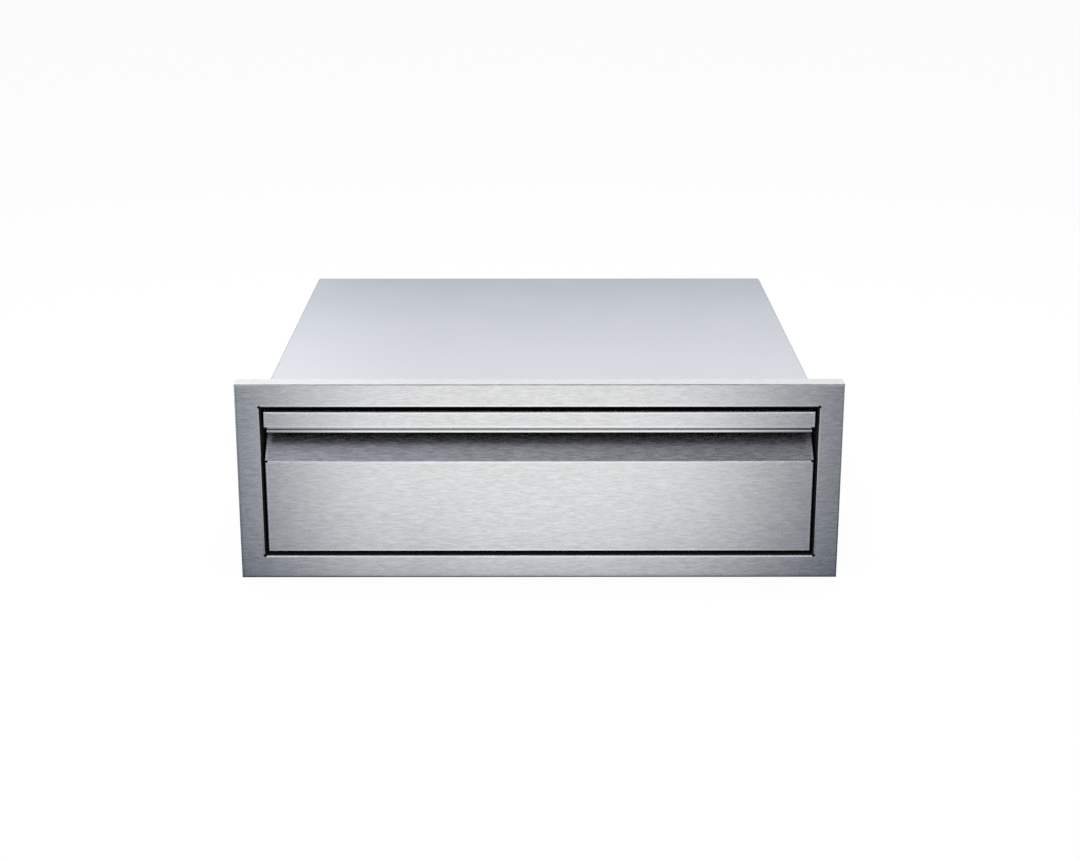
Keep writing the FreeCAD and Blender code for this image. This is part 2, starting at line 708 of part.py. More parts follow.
def make_drawer_back():
    body = new_body("drawer_back")
    corner = size.fold_radius + size.box_sheet
    flange = run(size.box_flange - corner)
    fold = bend(-90, size.fold_radius)
    inside = size.box_half_width - size.box_sheet
    start = (size.box_sheet / 2 - inside, size.box_back - size.box_flange)
    sketch = new_sketch(body, "XY_Plane",
                        "Fits.box_base + Sizes.box_sheet + Sizes.fold_radius")
    folded_strip(body, sketch, size.box_sheet, start, 90,
                 [flange, fold, run(2 * (inside - corner)), fold, flange])
    pad(body, sketch, "Fits.box_height - 2 * (Sizes.box_sheet + Sizes.fold_radius)")


make_face_frame()
make_jamb_seal()
for name, side in SIDES:
    make_housing_side(name, side)
make_housing_lid("housing_top", 1)
make_housing_lid("housing_bottom", -1)
make_housing_back()
make_rear_bumpers()
outer_web_line = size.slide_sheet + size.web_gap / 2
inner_web_line = (size.middle_web + size.slide_sheet / 2 + size.cage_play
                  + size.cage_sheet / 2)
for name, side in SIDES:
    make_slide_bracket(name, side)
    make_outer_member(name, side)
    make_middle_member(name, side)
    make_inner_member(name, side)
    make_cage("outer_cage_" + name, side, outer_web_line,
              "outer_ball_reach", "outer_ball_height")
    make_balls("outer_balls_" + name, side, size.outer_ball_reach, size.outer_ball_height)
    make_cage("inner_cage_" + name, side, inner_web_line,
              "inner_ball_reach", "inner_ball_height")
    make_balls("inner_balls_" + name, side, size.inner_ball_reach, size.inner_ball_height)
    make_drawer_side(name, side)
make_drawer_bottom()
make_drawer_back()
make_front_skin()
make_handle_lip()
make_grip_bead()
make_front_liner()
make_wiper_seal()
document.recompute()

# Every object has to be sound before a file is written
for thing in document.Objects:
    if {"Invalid", "Error"} & set(thing.State):
        raise RuntimeError(f"{thing.Label} failed: {thing.State}")
os.makedirs("parts", exist_ok=True)
for subpart in subparts:
    shape = subpart.Shape
    if shape.isNull() or not shape.isValid() or not shape.Solids:
        raise RuntimeError(f"{subpart.Label} has no valid solid")
    shape.exportStep(f"parts/{subpart.Label}.step")
    print(f"{subpart.Label}: {len(shape.Solids)} solids, {shape.Volume:.0f} mm3")
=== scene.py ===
import math

import bpy
import bmesh
from mathutils import Matrix, Vector


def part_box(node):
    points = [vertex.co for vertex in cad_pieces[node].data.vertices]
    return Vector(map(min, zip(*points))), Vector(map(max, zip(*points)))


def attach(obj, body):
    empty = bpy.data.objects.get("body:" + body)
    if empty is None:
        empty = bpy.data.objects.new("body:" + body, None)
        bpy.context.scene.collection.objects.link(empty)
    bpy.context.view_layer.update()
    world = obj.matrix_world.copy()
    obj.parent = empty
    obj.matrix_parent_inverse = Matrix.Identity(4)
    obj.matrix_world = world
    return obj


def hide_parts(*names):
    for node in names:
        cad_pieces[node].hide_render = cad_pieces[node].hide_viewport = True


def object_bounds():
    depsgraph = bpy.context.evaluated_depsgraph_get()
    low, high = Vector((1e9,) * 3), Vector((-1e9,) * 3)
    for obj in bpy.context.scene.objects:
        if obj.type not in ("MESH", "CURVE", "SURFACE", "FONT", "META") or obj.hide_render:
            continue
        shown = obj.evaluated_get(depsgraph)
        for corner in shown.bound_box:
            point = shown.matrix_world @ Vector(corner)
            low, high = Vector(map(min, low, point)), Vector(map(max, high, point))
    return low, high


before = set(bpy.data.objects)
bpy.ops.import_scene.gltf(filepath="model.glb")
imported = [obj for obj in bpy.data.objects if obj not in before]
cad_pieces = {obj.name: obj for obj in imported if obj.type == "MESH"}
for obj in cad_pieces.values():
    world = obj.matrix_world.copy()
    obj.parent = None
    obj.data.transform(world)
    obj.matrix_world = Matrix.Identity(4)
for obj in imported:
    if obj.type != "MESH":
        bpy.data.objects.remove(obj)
cad_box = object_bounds()


# Face frame
# Stainless sheet that covers the edge of the island's cut-out, folded back round its outside and
# into the opening, and brushed from end to end, so that the grain lies across all four borders.
FRONT_FINISH = {"tone": (0.765, 0.767, 0.772), "roughness": 0.27, "depth": 0.000012,
                "contrast": 0.12, "pull": 0.55}
GRAIN_LENGTH = 0.013
GRAIN_HEIGHT = 0.0012
FINE_LENGTH = 1.3
FINE_SHARE = 0.25
WANDER_SCALE = (1.1, 0.1, 0.1)
WANDER_SHIFT = 2.2
GRAIN_GUIDE = (0.0, 0.3, 1.0)
PATTERN_RANGE = (0.3, 0.7)
BRUSHED_SPREAD = 0.1
OPENING_HALF = (0.3505, 0.10025)
EDGE_WIDTH = 0.0026
# painted highlight along the opening's edges, round the drawer front's edges and on the lip's
# lower edge
EDGE_PAINTED_HIGHLIGHT = (1.28, 1.28, 1.28)
# painted shade: a darker line down each jamb of the opening
JAMB_OFFSET = 0.001
JAMB_REACH = 0.0013
JAMB_END = 0.022
JAMB_SHADE = (0.47, 0.47, 0.48)
# painted light that makes the frame's outer returns lighter
RETURN_START = -0.0186
RETURN_MARGIN = 0.01
RETURN_PAINTED_LIGHT = (1.28, 1.28, 1.30)
# painted shade: dark lines along the frame's outer edges, darkest along its base
LEFT_LINE = (-0.3783, 0.0006)
TOP_LINE = (0.1293, 0.0006)
LINE_SHADE = (0.80, 0.80, 0.81)
RIGHT_EDGE = (0.3802, 0.0010)
RIGHT_SHADE = (0.60, 0.60, 0.61)
BASE_EDGE = (-0.1300, 0.0012)
BASE_SHADE = (0.36, 0.36, 0.38)


def material_nodes(name):
    """A new material, with a function that adds nodes and one that joins their sockets."""
    material = bpy.data.materials.new(name)
    material.use_nodes = True
    tree = material.node_tree
    surface = tree.nodes["Principled BSDF"]

    def add(kind, **settings):
        node = tree.nodes.new("ShaderNode" + kind)
        for key, value in settings.items():
            if hasattr(node, key):
                setattr(node, key, value)
            else:
                node.inputs[key.replace("_", " ")].default_value = value
        return node

    def join(source, target):
        tree.links.new(source, target)

    return material, surface, add, join


def calculated(add, join, operation, *values):
    """The result of one arithmetic step on sockets and numbers."""
    step = add("Math", operation=operation)
    for socket, value in zip(step.inputs, values):
        if isinstance(value, float):
            socket.default_value = value
        else:
            join(value, socket)
    return step.outputs[0]


def ranged(add, join, value, start, end, low=0.0, high=1.0):
    """A socket's value carried from one range over to another, and held at the ends."""
    change = add("MapRange", From_Min=start, From_Max=end, To_Min=low, To_Max=high)
    join(value, change.inputs["Value"])
    return change.outputs["Result"]


def tinted(add, join, pattern, tone, contrast):
    """A tone that a pattern makes darker and lighter by a share."""
    ramp = add("ValToRGB")
    shares = (1 - contrast, 1 + contrast)
    for mark, place, share in zip(ramp.color_ramp.elements, PATTERN_RANGE, shares):
        mark.position = place
        mark.color = (*(c * share for c in tone), 1)
    join(pattern, ramp.inputs["Fac"])
    return ramp.outputs["Color"]


def all_of(add, join, *masks):
    """A mask of the places that every one of some masks takes in."""
    common = masks[0]
    for mask in masks[1:]:
        common = calculated(add, join, "MULTIPLY", common, mask)
    return common


def distance_inside(add, join, split, half_width, half_height):
    """How far a place on the front lies inside a rectangle about the middle."""
    gaps = []
    for name, half in (("X", half_width), ("Z", half_height)):
        out = calculated(add, join, "ABSOLUTE", split.outputs[name])
        gaps.append(calculated(add, join, "SUBTRACT", half, out))
    return calculated(add, join, "MINIMUM", *gaps)


def brushed_sheet(name, treatments, tone, roughness, depth, contrast, pull):
    """Sheet steel with its grain along X: streaks in tone and gloss, and fine scratches.

    A treatment gives a mask of places, and the colour that the sheet is multiplied by there.
    """
    material, surface, add, join = material_nodes(name)
    surface.inputs["Metallic"].default_value = 1.0
    surface.inputs["Anisotropic"].default_value = pull
    surface.inputs["Anisotropic Rotation"].default_value = 0.25
    place = add("TexCoord")

    # the belt wanders a little, so each streak rises and falls along its length
    along, across, through = WANDER_SCALE
    wander = add("TexNoise", Scale=1.0, Detail=0.5)
    wander_size = add("Mapping", Scale=(along / GRAIN_LENGTH, across / GRAIN_HEIGHT,
                                        through / GRAIN_HEIGHT))
    join(place.outputs["Object"], wander_size.inputs["Vector"])
    join(wander_size.outputs["Vector"], wander.inputs["Vector"])
    shift = add("VectorMath", operation="MULTIPLY_ADD")
    shift.inputs[1].default_value = (0.0, WANDER_SHIFT * GRAIN_HEIGHT, WANDER_SHIFT * GRAIN_HEIGHT)
    join(wander.outputs["Color"], shift.inputs[0])
    join(place.outputs["Object"], shift.inputs[2])

    def streaks(length, height, detail):
        size = add("Mapping", Scale=(1 / length, 1 / height, 1 / height))
        noise = add("TexNoise", Scale=1.0, Detail=detail, Roughness=0.6)
        join(shift.outputs["Vector"], size.inputs["Vector"])
        join(size.outputs["Vector"], noise.inputs["Vector"])
        return noise.outputs["Fac"]

    broad = streaks(GRAIN_LENGTH, GRAIN_HEIGHT, 0.0)
    fine = streaks(GRAIN_LENGTH * FINE_LENGTH, GRAIN_HEIGHT / 2, 1.0)
    mixed = add("Mix", data_type="FLOAT")
    mixed.inputs["Factor"].default_value = FINE_SHARE
    join(broad, mixed.inputs["A"])
    join(fine, mixed.inputs["B"])
    grain = mixed.outputs["Result"]

    colour = tinted(add, join, grain, tone, contrast)
    split = add("SeparateXYZ")
    join(place.outputs["Object"], split.inputs[0])
    # the treatments paint highlights and shade into the sheet's colour
    for mask, factor in treatments:
        change = add("Mix", data_type="RGBA", blend_type="MULTIPLY")
        join(mask(add, join, split), change.inputs["Factor"])
        join(colour, change.inputs["A"])
        change.inputs["B"].default_value = (*factor, 1)
        colour = change.outputs["Result"]
    join(colour, surface.inputs["Base Color"])
    join(ranged(add, join, grain, *PATTERN_RANGE, roughness * (1 - BRUSHED_SPREAD),
                roughness * (1 + BRUSHED_SPREAD)), surface.inputs["Roughness"])

    scratches = add("Bump", Strength=1.0, Distance=depth)
    join(broad, scratches.inputs["Height"])
    join(scratches.outputs["Normal"], surface.inputs["Normal"])

    # the grain turns round a fold with the sheet, so it lies level on every face
    face = add("NewGeometry")
    level = add("VectorMath", operation="CROSS_PRODUCT")
    level.inputs[1].default_value = GRAIN_GUIDE
    join(face.outputs["Normal"], level.inputs[0])
    join(level.outputs["Vector"], surface.inputs["Tangent"])
    return material


def finish_with(material, *names):
    """Gives CAD pieces their finish."""
    for name in names:
        slots = cad_pieces[name].data.materials
        slots.clear()
        slots.append(material)


# the opening's edges, where the frame gets a painted highlight
def opening_edge(add, join, split):
    inside = distance_inside(add, join, split, *OPENING_HALF)
    return calculated(add, join, "GREATER_THAN", inside, -EDGE_WIDTH)


# the frame's outer returns, which get painted light
def outer_return(add, join, split):
    behind = calculated(add, join, "GREATER_THAN", split.outputs["Y"], RETURN_START)
    inside = distance_inside(add, join, split, *OPENING_HALF)
    outside = calculated(add, join, "LESS_THAN", inside, -RETURN_MARGIN)
    return all_of(add, join, behind, outside)


# the jambs' front edges, where painted shade goes
def jamb_edge(add, join, split):
    out = calculated(add, join, "ABSOLUTE", split.outputs["X"])
    side = calculated(add, join, "COMPARE", out, OPENING_HALF[0] + JAMB_OFFSET, JAMB_REACH)
    level = calculated(add, join, "ABSOLUTE", split.outputs["Z"])
    between = calculated(add, join, "LESS_THAN", level, OPENING_HALF[1])
    before = calculated(add, join, "LESS_THAN", split.outputs["Y"], JAMB_END)
    return all_of(add, join, side, between, before)


def strip(axis, middle, half, depth=1.0):
    """A mask of the places near a level along one axis, no further back than a depth."""
    def mask(add, join, split):
        near = calculated(add, join, "COMPARE", split.outputs[axis], middle, half)
        before = calculated(add, join, "LESS_THAN", split.outputs["Y"], depth)
        return all_of(add, join, near, before)
    return mask


# the frame gets painted highlights on the opening's edges and outer returns, and painted shade
# down the jambs and along its outer edges
frame_steel = brushed_sheet("frame_steel",
                            [(opening_edge, EDGE_PAINTED_HIGHLIGHT), (outer_return, RETURN_PAINTED_LIGHT),
                             (jamb_edge, JAMB_SHADE),
                             (strip("X", *RIGHT_EDGE, RETURN_START), RIGHT_SHADE),
                             (strip("X", *LEFT_LINE, RETURN_START), LINE_SHADE),
                             (strip("Z", *TOP_LINE, RETURN_START), LINE_SHADE),
                             (strip("Z", *BASE_EDGE, RETURN_START), BASE_SHADE)],
                            **FRONT_FINISH)
finish_with(frame_steel, "face_frame")


# Lining of the opening and wiper seal
# Black rubber strip bonded inside the frame's jambs, with a pad behind each relief notch, and a
# rubber ring that wipes along behind the drawer front. They are dark pieces put in the shaded gap
# round the front, so that it shows black as painted shade.
RUBBER_TONE = 0.006
PAD_RADIUS = 0.0034
PAD_DEPTH = 0.0010
PAD_ROUNDING = 0.0003
PAD_START = -0.0188
PAD_OFFSET = 0.0014
PAD_SIDES = 24


def rubber(name, tone):
    """Matt rubber with a little dust that makes it paler and rougher in places."""
    material, surface, add, join = material_nodes(name)
    surface.inputs["Specular IOR Level"].default_value = 0.15
    place = add("TexCoord")
    dust = add("TexNoise", Scale=240.0, Detail=4.0)
    join(place.outputs["Object"], dust.inputs["Vector"])
    shade = add("ValToRGB")
    for mark, share in zip(shade.color_ramp.elements, (0.7, 1.5)):
        mark.color = (tone * share, tone * share, tone * share, 1)
    join(dust.outputs["Fac"], shade.inputs["Fac"])
    join(shade.outputs["Color"], surface.inputs["Base Color"])
    join(ranged(add, join, dust.outputs["Fac"], 0.0, 1.0, 0.75, 0.95),
         surface.inputs["Roughness"])
    skin = add("Bump", Strength=0.3, Distance=0.0002)
    join(dust.outputs["Fac"], skin.inputs["Height"])
    join(skin.outputs["Normal"], surface.inputs["Normal"])
    return material


black_rubber = rubber("black_rubber", RUBBER_TONE)
finish_with(black_rubber, "jamb_seal", "wiper_seal")


def new_piece(name, mesh, material, body):
    """A piece of the object, on its body and in its material slot."""
    mesh.materials.append(material)
    piece = bpy.data.objects.new(name, mesh)
    bpy.context.collection.objects.link(piece)
    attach(piece, body)
    return piece


def turned(build, profile, sides):
    """Turns a profile of (radius, height) points about Z into a bmesh.

    A point on the axis closes the form there.
    """
    rings = []
    for radius, height in profile:
        if radius == 0:
            rings.append([build.verts.new((0, 0, height))])
            continue
        ring = []
        for i in range(sides):
            angle = 2 * math.pi * i / sides
            ring.append(build.verts.new((radius * math.cos(angle), radius * math.sin(angle),
                                         height)))
        rings.append(ring)
    for low, high in zip(rings, rings[1:]):
        for i in range(sides):
            j = (i + 1) % sides
            if len(low) == 1:
                build.faces.new((low[0], high[j], high[i]))
            elif len(high) == 1:
                build.faces.new((low[i], low[j], high[0]))
            else:
                build.faces.new((low[i], low[j], high[j], high[i]))


def group_mesh(name, single, spots, direction):
    """One mesh of many like pieces, each turned from +Z to a direction and put at its spot."""
    whole = bmesh.new()
    turn = Vector((0, 0, 1)).rotation_difference(Vector(direction)).to_matrix().to_4x4()
    for spot in spots:
        part = bmesh.new()
        single(part)
        bmesh.ops.transform(part, matrix=Matrix.Translation(spot) @ turn, verts=part.verts)
        copy = bpy.data.meshes.new("copy")
        part.to_mesh(copy)
        part.free()
        whole.from_mesh(copy)
        bpy.data.meshes.remove(copy)
    mesh = bpy.data.meshes.new(name)
    bmesh.ops.recalc_face_normals(whole, faces=whole.faces)
    whole.to_mesh(mesh)
    whole.free()
    for face in mesh.polygons:
        face.use_smooth = True
    return mesh


def corner_pad(build):
    """A disc with its rims eased."""
    rim = PAD_RADIUS - PAD_ROUNDING
    profile = [(0, 0), (rim, 0), (PAD_RADIUS, PAD_ROUNDING),
               (PAD_RADIUS, PAD_DEPTH - PAD_ROUNDING), (rim, PAD_DEPTH), (0, PAD_DEPTH)]
    turned(build, profile, PAD_SIDES)


# pads: dark pieces behind the relief notches, where they show as painted shadow
spots = [(side * (OPENING_HALF[0] + PAD_OFFSET), PAD_START, end * (OPENING_HALF[1] + PAD_OFFSET))
         for side in (-1, 1) for end in (-1, 1)]
pads = group_mesh("notch_shade_pads", corner_pad, spots, (0, 1, 0))
new_piece("notch_shade_pads", pads, black_rubber, "housing")


# Housing
# A box of plain mill-finish stainless sheet: two walls with flanges, a roof, a floor and a back.
# Screws through the walls hold it in the island, and rivets hold the slide brackets inside.
HOUSING_TONE = (0.855, 0.87, 0.896)
MILL_SPREAD = 0.07
RIVET_TONE = (0.62, 0.63, 0.64)
RIVET_RADIUS = 0.0036
RIVET_HEIGHT = 0.0014
RIVET_STEPS = 6
RIVET_SIDES = 28
RIVET_DEPTHS = (0.054, 0.2033, 0.3527, 0.502)
RIVET_LEVELS = (-0.0612, 0.0012)


def mill_sheet(name, tone, roughness, cloud_size, contrast, grain_depth):
    """Sheet or plated steel as it left the mill: faint clouds in tone and gloss, a dull skin."""
    material, surface, add, join = material_nodes(name)
    surface.inputs["Metallic"].default_value = 1.0
    place = add("TexCoord")
    clouds = add("TexNoise", Scale=1 / cloud_size, Detail=3.0)
    join(place.outputs["Object"], clouds.inputs["Vector"])
    join(tinted(add, join, clouds.outputs["Fac"], tone, contrast), surface.inputs["Base Color"])
    join(ranged(add, join, clouds.outputs["Fac"], *PATTERN_RANGE, roughness * (1 - MILL_SPREAD),
                roughness * (1 + MILL_SPREAD)), surface.inputs["Roughness"])
    skin = add("TexNoise", Scale=1600.0, Detail=2.0)
    join(place.outputs["Object"], skin.inputs["Vector"])
    pits = add("Bump", Strength=1.0, Distance=grain_depth)
    join(skin.outputs["Fac"], pits.inputs["Height"])
    join(pits.outputs["Normal"], surface.inputs["Normal"])
    return material


housing_steel = mill_sheet("housing_steel", HOUSING_TONE, roughness=0.24, cloud_size=0.12,
                           contrast=0.012, grain_depth=0.000004)
finish_with(housing_steel, "housing_side_left", "housing_side_right", "housing_top",
            "housing_bottom", "housing_back", "slide_bracket_left", "slide_bracket_right")


def rivet_head(build):
    """A low dome."""
    turns = [i * math.pi / 2 / RIVET_STEPS for i in range(RIVET_STEPS)]
    dome = [(RIVET_RADIUS * math.cos(turn), RIVET_HEIGHT * math.sin(turn)) for turn in turns]
    turned(build, [(0, 0), *dome, (0, RIVET_HEIGHT)], RIVET_SIDES)


rivet_steel = mill_sheet("rivet_steel", RIVET_TONE, roughness=0.26, cloud_size=0.003,
                         contrast=0.05, grain_depth=0.000004)
for name, side in (("left", -1), ("right", 1)):
    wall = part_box("housing_side_" + name)[0 if side < 0 else 1][0]
    spots = [(wall, depth, level) for depth in RIVET_DEPTHS for level in RIVET_LEVELS]
    heads = group_mesh("rivet_heads_" + name, rivet_head, spots, (side, 0, 0))
    new_piece("rivet_heads_" + name, heads, rivet_steel, "housing")


# Slides and rear bumpers
# Roll-formed steel members, plated bright, run on hardened balls that sit in square pockets of
# two cages a side. Rubber buffers on the back sheet stop the box as it closes.
SLIDE_TONE = (0.62, 0.625, 0.625)
BALL_TONE = (0.80, 0.80, 0.81)
BALL_RADIUS = 0.002
MERGE_DISTANCE = 0.000001

slide_steel = mill_sheet("slide_steel", SLIDE_TONE, roughness=0.28, cloud_size=0.012,
                         contrast=0.05, grain_depth=0.000004)
ball_steel = mill_sheet("ball_steel", BALL_TONE, roughness=0.08, cloud_size=0.003,
                        contrast=0.02, grain_depth=0.000001)
finish_with(black_rubber, "rear_bumpers")


def round_ball(build):
    bmesh.ops.create_uvsphere(build, u_segments=20, v_segments=12, radius=BALL_RADIUS)


def solid_centres(node):
    """The middle of each separate solid in a CAD node."""
    whole = bmesh.new()
    whole.from_mesh(cad_pieces[node].data)
    bmesh.ops.remove_doubles(whole, verts=whole.verts, dist=MERGE_DISTANCE)
    waiting = set(whole.verts)
    centres = []
    while waiting:
        group, edge = set(), [waiting.pop()]
        while edge:
            corner = edge.pop()
            group.add(corner)
            for link in corner.link_edges:
                other = link.other_vert(corner)
                if other in waiting:
                    waiting.remove(other)
                    edge.append(other)
        places = [corner.co for corner in group]
        low = [min(p[i] for p in places) for i in range(3)]
        high = [max(p[i] for p in places) for i in range(3)]
        centres.append(tuple((a + b) / 2 for a, b in zip(low, high)))
    whole.free()
    return sorted(centres)


for name in ("left", "right"):
    finish_with(slide_steel, "slide_outer_" + name, "slide_middle_" + name,
                "slide_inner_" + name, "outer_cage_" + name, "inner_cage_" + name)
    for row in ("outer", "inner"):
        node = f"{row}_balls_{name}"
        balls = group_mesh(f"round_balls_{row}_{name}", round_ball, solid_centres(node),
                           (0, 0, 1))
        piece = new_piece(f"round_balls_{row}_{name}", balls, ball_steel,
                          f"{row}_cage_{name}")
        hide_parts(node)


# Drawer front
# One brushed skin folded into panel, finger slope and recess back, with a folded lip and a strip
# rolled to a bright bead. The hollow behind the lip is painted black as shade, and a plain liner
# closes the rear.
FRONT_HALF = (0.3455, 0.09405)
# painted highlight along the lip's lower edge
LIP_EDGE = (0.0746, 0.0009)
# painted shade in the groove under the lip, and in the bead's neck below it
LIP_FOLD = (0.0731, 0.0006)
LIP_FOLD_DEPTH = -0.0150
GROOVE_SHADE = (0.78, 0.78, 0.79)
BEAD_FINISH = {"tone": (0.97, 0.97, 0.97), "roughness": 0.12, "depth": 0.00001,
               "contrast": 0.03, "pull": 0.3}
BEAD_NECK = (0.0717, 0.0014)
BEAD_TOP = 0.0693
# painted shade towards the bead's ends
BEAD_ENDS = (0.235, 0.345)
BEAD_END_SHADE = (0.58, 0.58, 0.59)
FOLD_LEVEL = 0.02805
# painted highlight along the fold between panel and slope
FOLD_EDGE = (0.0268, 0.0011)
FOLD_PAINTED_HIGHLIGHT = (1.13, 1.13, 1.13)
# the fold's relief notches at the front's ends, painted black as shadow
NOTCH_START = 0.3424
NOTCH_HALF = 0.00125
NOTCH_DEPTH = -0.0168
SLOPE_START = -0.0193
SCRATCH_LENGTH = 0.016
SCRATCH_HEIGHT = 0.0014
SCRATCH_RANGE = (0.42, 0.62)
SCRATCH_SHADE = (0.78, 0.78, 0.79)
# the hollow behind the lip and the undersides that face it are painted black as shade
HOLLOW_START = -0.0117
HOLLOW_LEVEL = 0.0640
LIP_LEVEL = 0.0720
UNDERSIDE = -0.57
BLACK_PAINTED_SHADE = (0.015, 0.015, 0.016)
# painted shade on the slope under the lip, fading out between these levels
SLOPE_PAINTED_SHADE = (0.52, 0.52, 0.54)
SLOPE_SHADE_LEVELS = (0.034, 0.062)


# the drawer front's edges, where it gets a painted highlight
def front_edge(add, join, split):
    inside = distance_inside(add, join, split, *FRONT_HALF)
    return calculated(add, join, "LESS_THAN", inside, EDGE_WIDTH)


def finger_hollow(add, join, split):
    """The hollow behind the lip, and the undersides of lip and bead that face it, painted black as
    shade.
    """
    deep = calculated(add, join, "GREATER_THAN", split.outputs["Y"], HOLLOW_START)
    low = calculated(add, join, "LESS_THAN", split.outputs["Z"], LIP_LEVEL)
    facing = add("SeparateXYZ")
    join(add("NewGeometry").outputs["Normal"], facing.inputs[0])
    under = calculated(add, join, "LESS_THAN", facing.outputs["Z"], UNDERSIDE)
    either = calculated(add, join, "MAXIMUM", deep, all_of(add, join, under, low))
    high = calculated(add, join, "GREATER_THAN", split.outputs["Z"], HOLLOW_LEVEL)
    return all_of(add, join, either, high)


def painted_slope_shade(add, join, split):
    """Painted shade from the lip, fading out down the slope."""
    fade = ranged(add, join, split.outputs["Z"], *SLOPE_SHADE_LEVELS)
    deep = calculated(add, join, "GREATER_THAN", split.outputs["Y"], SLOPE_START)
    below = calculated(add, join, "LESS_THAN", split.outputs["Z"], LIP_LEVEL)
    return all_of(add, join, deep, below, fade)


def painted_bead_end_shade(add, join, split):
    """Painted shade that darkens the bead towards its ends, below its top."""
    fade = ranged(add, join, calculated(add, join, "ABSOLUTE", split.outputs["X"]), *BEAD_ENDS)
    below = calculated(add, join, "LESS_THAN", split.outputs["Z"], BEAD_TOP)
    return all_of(add, join, fade, below)


# the relief notches, painted black as shadow
def fold_notch(add, join, split):
    out = calculated(add, join, "ABSOLUTE", split.outputs["X"])
    end = calculated(add, join, "GREATER_THAN", out, NOTCH_START)
    near = strip("Z", FOLD_LEVEL, NOTCH_HALF, NOTCH_DEPTH)(add, join, split)
    return all_of(add, join, end, near)


def slope_scratches(add, join, split):
    """Broken streaks on the slope, where the belt can't be drawn right through."""
    place = add("TexCoord")
    size = add("Mapping", Scale=(1 / SCRATCH_LENGTH, 1 / SCRATCH_HEIGHT, 1 / SCRATCH_HEIGHT))
    noise = add("TexNoise", Scale=1.0, Detail=0.5, Distortion=0.2)
    join(place.outputs["Object"], size.inputs["Vector"])
    join(size.outputs["Vector"], noise.inputs["Vector"])
    streaks = ranged(add, join, noise.outputs["Fac"], *SCRATCH_RANGE)
    above = calculated(add, join, "GREATER_THAN", split.outputs["Z"], FOLD_LEVEL)
    deep = calculated(add, join, "GREATER_THAN", split.outputs["Y"], SLOPE_START)
    return all_of(add, join, above, deep, streaks)


# the front gets painted highlights on its edges, the lip's edge and the fold, and painted shade in
# the lip's groove, on the slope, in the notches and in the hollow
front_steel = brushed_sheet("front_steel",
                            [(front_edge, EDGE_PAINTED_HIGHLIGHT), (strip("Z", *LIP_EDGE), EDGE_PAINTED_HIGHLIGHT),
                             (strip("Z", *LIP_FOLD, LIP_FOLD_DEPTH), GROOVE_SHADE),
                             (strip("Z", *FOLD_EDGE, SLOPE_START), FOLD_PAINTED_HIGHLIGHT),
                             (slope_scratches, SCRATCH_SHADE), (painted_slope_shade, SLOPE_PAINTED_SHADE),
                             (fold_notch, BLACK_PAINTED_SHADE), (finger_hollow, BLACK_PAINTED_SHADE)],
                            **FRONT_FINISH)
# the bead gets painted shade in its neck, towards its ends and underneath
bead_steel = brushed_sheet("bead_steel",
                           [(strip("Z", *BEAD_NECK), GROOVE_SHADE),
                            (painted_bead_end_shade, BEAD_END_SHADE), (finger_hollow, BLACK_PAINTED_SHADE)],
                           **BEAD_FINISH)
finish_with(front_steel, "front_skin", "handle_lip")
finish_with(bead_steel, "grip_bead")
finish_with(housing_steel, "front_liner")


# Drawer box
# Folded from a duller sheet than the housing: two sides with flanges, a floor and a back. Pan-head
# screws with a cross recess hold it to the slides and to the front's rear rim.
BOX_SHEET = 0.001
SCREW_RADIUS = 0.004
SCREW_HEIGHT = 0.0023
HEAD_PROFILE = ((0.72, 0.99), (0.92, 0.80), (1.0, 0.45), (1.0, 0.0))
RECESS_REACH = 0.0021
RECESS_HALF = 0.0005
RECESS_DEPTH = 0.0012
RECESS_TAPER = 0.6
SLIDE_SCREW_DEPTHS = (0.064, 0.278, 0.492)
SLIDE_SCREW_LEVEL = -0.030
FRONT_SCREW_COLUMNS = 4
FRONT_SCREW_SPACING = 0.180
FRONT_SCREW_LEVELS = (-0.060, 0.050)

box_steel = mill_sheet("box_steel", HOUSING_TONE, roughness=0.36, cloud_size=0.09,
                       contrast=0.02, grain_depth=0.000006)
finish_with(box_steel, "drawer_side_left", "drawer_side_right", "drawer_bottom", "drawer_back")


def screw_head(build):
    """A pan head whose crown has a cross-shaped recess with sloping walls."""
    crown = SCREW_HEIGHT
    arm, half = RECESS_REACH, RECESS_HALF
    cross = []
    for quarter in range(4):
        turn = Matrix.Rotation(quarter * math.pi / 2, 2)
        for x, y in ((arm, -half), (arm, half), (half, half)):
            cross.append(turn @ Vector((x, y)))
    rim = [build.verts.new((p.x, p.y, crown)) for p in cross]
    floor = [build.verts.new((p.x * RECESS_TAPER, p.y * RECESS_TAPER, crown - RECESS_DEPTH))
             for p in cross]
    ring = []
    for point in cross:
        angle = math.atan2(point.y, point.x)
        ring.append([build.verts.new((SCREW_RADIUS * share * math.cos(angle),
                                      SCREW_RADIUS * share * math.sin(angle), crown * rise))
                     for share, rise in HEAD_PROFILE])
    count = len(cross)
    for i in range(count):
        j = (i + 1) % count
        build.faces.new((floor[i], floor[j], rim[j], rim[i]))
        build.faces.new((rim[i], rim[j], ring[j][0], ring[i][0]))
        for low in range(len(HEAD_PROFILE) - 1):
            build.faces.new((ring[i][low], ring[j][low], ring[j][low + 1], ring[i][low + 1]))
    build.faces.new(floor)
    build.faces.new([column[-1] for column in reversed(ring)])


for name, side in (("left", -1), ("right", 1)):
    outside = abs(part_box("drawer_side_" + name)[0 if side < 0 else 1][0])
    inside = side * (outside - BOX_SHEET)
    spots = [(inside, depth, SLIDE_SCREW_LEVEL) for depth in SLIDE_SCREW_DEPTHS]
    heads = group_mesh("slide_screws_" + name, screw_head, spots, (-side, 0, 0))
    new_piece("slide_screws_" + name, heads, rivet_steel, "drawer")

